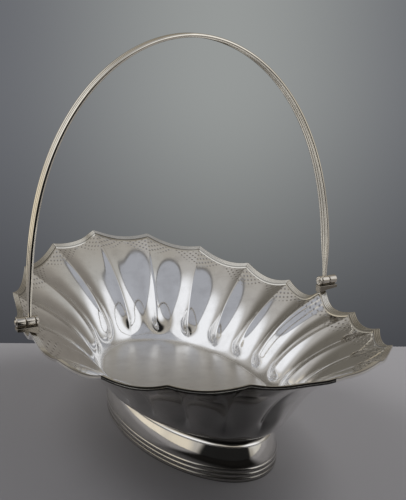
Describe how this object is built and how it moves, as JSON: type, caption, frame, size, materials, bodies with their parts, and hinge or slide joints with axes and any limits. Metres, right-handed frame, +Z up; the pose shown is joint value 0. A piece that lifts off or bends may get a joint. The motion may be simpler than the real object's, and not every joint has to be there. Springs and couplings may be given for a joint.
{
  "type": "cake basket",
  "caption": "Oval fluted silver cake basket with a scalloped reeded rim, a reeded oval foot and a swing handle hinged over the middle of its long sides.",
  "frame": {"origin": "middle of the foot's underside, on the surface that the basket stands on", "axes": "+Z up, X along the oval bowl, Y along the hinge axis of the handle"},
  "size_m": [0.3706, 0.2452, 0.2734],
  "materials": {
    "bowl_silver": "polished sterling silver",
    "rim_silver": "polished reeded silver wire",
    "foot_silver": "polished silver with tarnish in the reeds",
    "handle_silver": "polished silver with tarnish in the reeds",
    "hinge_silver": "polished silver, rubbed at the joints"
  },
  "bodies": {
    "basket": {"bowl": "bowl_silver", "rim_wire_01": "rim_silver", "rim_wire_02": "rim_silver", "rim_wire_03": "rim_silver", "rim_wire_04": "rim_silver", "rim_wire_05": "rim_silver", "rim_wire_06": "rim_silver", "rim_wire_07": "rim_silver", "rim_wire_08": "rim_silver", "rim_wire_09": "rim_silver", "rim_wire_10": "rim_silver", "rim_wire_11": "rim_silver", "rim_wire_12": "rim_silver", "rim_wire_13": "rim_silver", "rim_wire_14": "rim_silver", "rim_wire_15": "rim_silver", "rim_wire_16": "rim_silver", "rim_wire_17": "rim_silver", "rim_wire_18": "rim_silver", "rim_wire_19": "rim_silver", "rim_wire_20": "rim_silver", "foot_collar": "foot_silver", "foot_dome": "foot_silver", "foot_reeded_border": "foot_silver", "hinge_plate_left": "hinge_silver", "inner_knuckle_left": "hinge_silver", "outer_knuckle_left": "hinge_silver", "hinge_pin_left": "hinge_silver", "hinge_plate_right": "hinge_silver", "inner_knuckle_right": "hinge_silver", "outer_knuckle_right": "hinge_silver", "hinge_pin_right": "hinge_silver"},
    "handle": {"bail_handle": "handle_silver", "handle_knuckle_left": "hinge_silver", "handle_knuckle_right": "hinge_silver"}
  },
  "joints": [
    {"name": "handle_swing", "type": "hinge", "parent": "basket", "child": "handle", "pos_m": [0, 0, 0.09301], "axis": [0, 1, 0], "range_deg": [-86, 86]}
  ]
}
